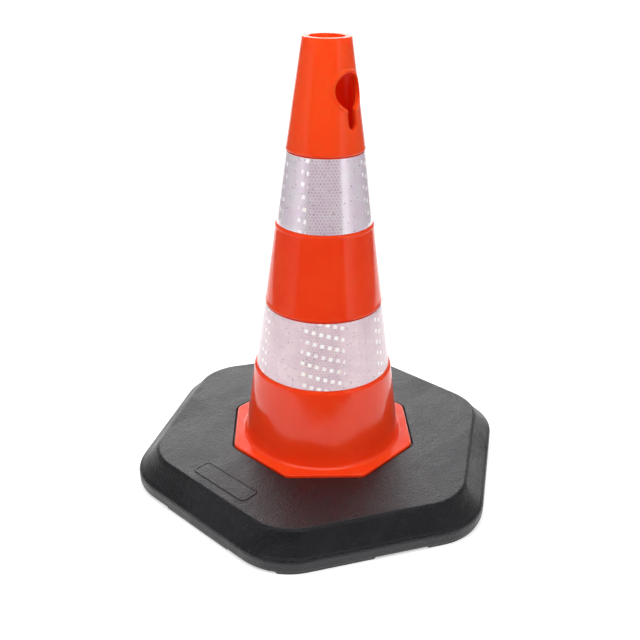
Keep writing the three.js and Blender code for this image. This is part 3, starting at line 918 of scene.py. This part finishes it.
def softbox(name, azimuth, elevation, distance, width, height, power, glossy=True, target=(0, 0, 0.22)):
    data = bpy.data.lights.new(name, "AREA")
    data.shape, data.size, data.size_y = "RECTANGLE", width, height
    data.energy = power
    ob = bpy.data.objects.new(name, data)
    bpy.context.scene.collection.objects.link(ob)
    d = direction(azimuth, elevation)
    ob.location = Vector(target) + d * distance
    ob.rotation_mode = "QUATERNION"
    ob.rotation_quaternion = (-d).to_track_quat("-Z", "Y")
    ob.visible_camera = False
    ob.visible_glossy = glossy
    return ob


FLOOR_FRONT, FLOOR_SIDE, FLOOR_BACK = 0.42, 0.70, 1.3
FLOOR_EMISSION = 0.42
BACK_LEVEL, BACK_GLOW, SIDE_LEVEL = 1.2, 4.0, 0.08
LEFT_WALL, RIGHT_WALL = 0.55, 0.95


def make_studio():
    scene = bpy.context.scene
    scene.view_settings.view_transform = "Standard"
    scene.view_settings.look = "None"
    scene.view_settings.exposure = 0.0
    scene.view_settings.gamma = 1.0

    # floor: one plain pale sheet on a product table
    fwd, right = direction(0, 0), direction(90, 0)
    corners = [fwd * f + right * r for f, r in ((FLOOR_FRONT, -FLOOR_SIDE), (FLOOR_FRONT, FLOOR_SIDE), (-FLOOR_BACK, FLOOR_SIDE), (-FLOOR_BACK, -FLOOR_SIDE))]
    mesh = bpy.data.meshes.new("floor")
    mesh.from_pydata([(c.x, c.y, 0.0) for c in corners], [], [(0, 1, 2, 3)])
    floor = bpy.data.objects.new("floor", mesh)
    scene.collection.objects.link(floor)
    f = Nodes("pale_floor")
    f.bsdf.inputs["Base Color"].default_value = (0.86, 0.86, 0.86, 1)
    f.bsdf.inputs["Roughness"].default_value = 0.6
    f.bsdf.inputs["Specular IOR Level"].default_value = 0.1
    f.bsdf.inputs["Emission Color"].default_value = (1, 1, 1, 1)
    f.bsdf.inputs["Emission Strength"].default_value = FLOOR_EMISSION
    mesh.materials.append(f.mat)

    # world: white to look at; as a light, a bright backdrop behind the cone and a dim room elsewhere
    world = bpy.data.worlds.new("studio")
    scene.world = world
    world.use_nodes = True
    t = world.node_tree
    t.nodes.clear()
    w = Nodes.__new__(Nodes)
    w.tree = t
    out = w.new("ShaderNodeOutputWorld")
    bg = w.new("ShaderNodeBackground")
    co = w.new("ShaderNodeTexCoord").outputs["Generated"]
    flat = w.vec("NORMALIZE", w.vec("MULTIPLY", co, (1.0, 1.0, 0.0)))
    facing = w.vec("DOT_PRODUCT", flat, tuple(direction(0, 0)))
    sep = w.new("ShaderNodeSeparateXYZ")
    w.link(co, sep.inputs[0])
    z = sep.outputs["Z"]
    across = w.vec("DOT_PRODUCT", flat, tuple(direction(90, 0)))
    azimuth = w.math("MULTIPLY", w.math("ARCTAN2", across, facing), 180 / math.pi)
    behind = w.remap(facing, -0.80, -0.93)
    glow = w.math("MULTIPLY", w.remap(z, 0.085, 0.35), w.remap(z, 0.43, 0.57, 1.0, 0.0))
    back = w.math("MULTIPLY_ADD", glow, BACK_GLOW, BACK_LEVEL)
    back = w.math("MULTIPLY", back, w.remap(across, -0.05, 0.16, 1.0, 0.72))
    # pale walls: each begins at its near edge and falls off away from it
    side = SIDE_LEVEL
    for sign, start, peak, end in ((1, 45.0, RIGHT_WALL, 78.0), (-1, 56.0, LEFT_WALL, 100.0)):
        a = w.math("MULTIPLY", azimuth, float(sign))
        wall = w.math("MULTIPLY", w.remap(a, start - 1.5, start + 1.5), w.remap(a, start, end, peak, 0.12))
        side = w.math("ADD", wall, side)
    level = w.math("MULTIPLY_ADD", behind, w.math("SUBTRACT", back, side), side)
    seen = w.new("ShaderNodeLightPath").outputs["Is Camera Ray"]
    level = w.math("MAXIMUM", level, w.math("MULTIPLY", seen, 1.2))
    bg.inputs["Color"].default_value = (1, 1, 1, 1)
    w.link(level, bg.inputs["Strength"])
    w.link(bg.outputs[0], out.inputs["Surface"])

    softbox("overhead_softbox", -160, 82, 1.5, 1.2, 1.2, 10.0)
    softbox("left_softbox", -44, 38, 1.25, 0.9, 0.9, 9.2, glossy=False, target=(0, 0, 0.3))
    softbox("right_softbox", 38, 38, 1.25, 0.9, 0.9, 8.5, glossy=False, target=(0, 0, 0.3))


# ------------------------------------------------------------------ assembly
def assign(ob, mat, body, node):
    ob.data.materials.clear()
    ob.data.materials.append(mat)
    for p in ob.data.polygons:
        p.material_index = 0
    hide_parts(node)
    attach(ob, body)


plastic, rubber = cone_plastic(), base_rubber()
# last two lists: honeycomb zones (faded elsewhere as painted sheen) and zones of painted glints
upper_film = sheeting("upper_prismatic_sheeting", 0.1397, 0.36, 1.0, (1.27, 1.19, 1.26), 0.09, 0.86, [(-7, 19)], [(-34, 4), (62, 7), (-77, 8)])
lower_film = sheeting("lower_prismatic_sheeting", 0.1447, 0.05, 0.12, (0.955, 0.875, 0.87), 0.22, 0.56, [(-6, 12)], [(-6, 18), (56, 4), (-70, 4)])
assign(build_cone_body(), plastic, "cone", "cone_body")
assign(build_base(), rubber, "base", "ballast_base")
assign(build_band("upper_band_sheeting", 384.9, 41.8, 307.3, 52.75), upper_film, "cone", "reflective_band_upper")
assign(build_band("lower_band_sheeting", 211.4, 66.3, 134.8, 77.5), lower_film, "cone", "reflective_band_lower")
make_studio()
